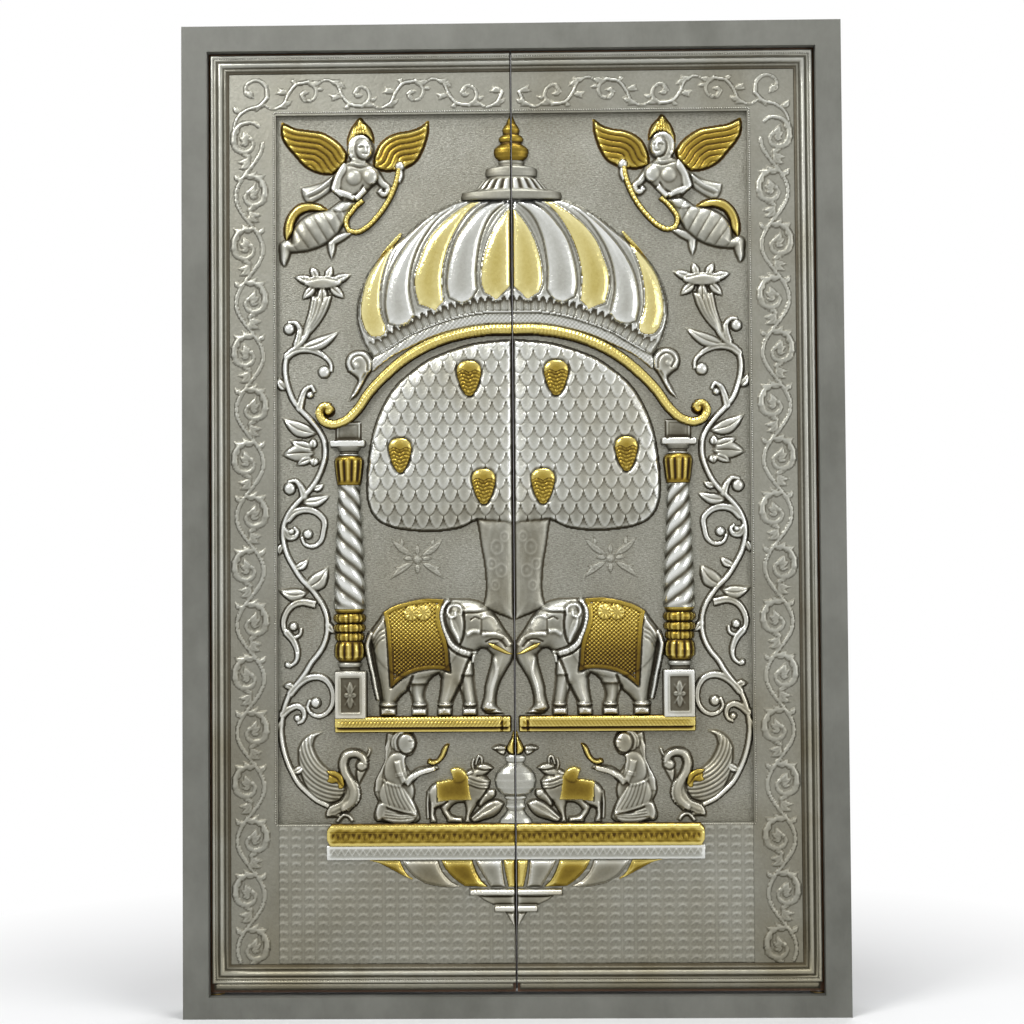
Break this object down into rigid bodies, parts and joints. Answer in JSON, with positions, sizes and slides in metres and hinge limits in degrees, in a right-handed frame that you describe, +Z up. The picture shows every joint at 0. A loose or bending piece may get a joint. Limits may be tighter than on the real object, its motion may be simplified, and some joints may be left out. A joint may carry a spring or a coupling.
{
  "type": "carved temple door",
  "caption": "Pair of pivoted temple door leaves with embossed silver sheet and gilded relief, in a plain frame with bolts on the back.",
  "frame": {"origin": "middle of the frame's underside, half way through its depth, in line with the meeting line of the leaves", "axes": "+Z up, -Y towards the carved face, +X to the right as the carved face is seen"},
  "size_m": [1.556, 0.12, 2.332],
  "materials": {
    "wood": "oiled teak",
    "silver_sheet": "embossed silver sheet, tarnished in the hollows",
    "silver_moulding": "drawn silver sheet, warm tarnish",
    "silver_relief": "polished silver relief, black in the hollows",
    "gilding": "gilded relief, brown in the hollows",
    "frame_paint": "plain grey paint",
    "steel": "turned steel",
    "brass": "cast brass"
  },
  "bodies": {
    "frame": {"left_jamb": "frame_paint", "right_jamb": "frame_paint", "head": "frame_paint", "threshold": "frame_paint", "pivot_bushes": "brass", "floor_sockets": "brass", "bolt_keepers": "brass"},
    "left_leaf": {"left_hanging_stile": "wood", "left_meeting_stile": "wood", "left_rails": "wood", "left_panels": "wood", "left_pivot_pins": "steel", "left_border_sheet": "silver_sheet", "left_ground_sheet": "silver_sheet", "left_foot_sheet": "silver_sheet", "left_moulding": "silver_moulding", "left_dome": "silver_relief", "left_finial": "gilding", "left_arch": "gilding", "left_tree": "silver_relief", "left_column": "silver_relief", "left_elephant": "silver_relief", "left_elephant_cloth": "gilding", "left_ledge": "gilding", "left_flying_figure": "silver_relief", "left_wings": "gilding", "left_vine": "silver_relief", "left_swan": "silver_relief", "left_altar_figures": "silver_relief", "left_altar_shelf": "gilding", "left_lotus_drop": "silver_relief", "left_bolt_staples": "brass"},
    "right_leaf": {"right_hanging_stile": "wood", "right_meeting_stile": "wood", "right_rails": "wood", "right_panels": "wood", "right_pivot_pins": "steel", "right_border_sheet": "silver_sheet", "right_ground_sheet": "silver_sheet", "right_foot_sheet": "silver_sheet", "right_moulding": "silver_moulding", "right_dome": "silver_relief", "right_finial": "gilding", "right_arch": "gilding", "right_tree": "silver_relief", "right_column": "silver_relief", "right_elephant": "silver_relief", "right_elephant_cloth": "gilding", "right_ledge": "gilding", "right_flying_figure": "silver_relief", "right_wings": "gilding", "right_vine": "silver_relief", "right_swan": "silver_relief", "right_altar_figures": "silver_relief", "right_altar_shelf": "gilding", "right_lotus_drop": "silver_relief", "right_bolt_staples": "brass"},
    "upper_bolt": {"upper_bolt": "steel"},
    "lower_bolt": {"lower_bolt": "steel"},
    "latch_bolt": {"latch_bolt": "steel"}
  },
  "joints": [
    {"name": "left_leaf_hinge", "type": "hinge", "parent": "frame", "child": "left_leaf", "pos_m": [-0.708, -0.008, 0.05], "axis": [0, 0, 1], "range_deg": [0, 90]},
    {"name": "right_leaf_hinge", "type": "hinge", "parent": "frame", "child": "right_leaf", "pos_m": [0.708, -0.008, 0.05], "axis": [0, 0, -1], "range_deg": [0, 90]},
    {"name": "upper_bolt_slide", "type": "slide", "parent": "left_leaf", "child": "upper_bolt", "axis": [0, 0, 1], "range_m": [0, 0.03]},
    {"name": "lower_bolt_slide", "type": "slide", "parent": "left_leaf", "child": "lower_bolt", "axis": [0, 0, -1], "range_m": [0, 0.03]},
    {"name": "latch_bolt_slide", "type": "slide", "parent": "right_leaf", "child": "latch_bolt", "axis": [-1, 0, 0], "range_m": [0, 0.06]}
  ]
}
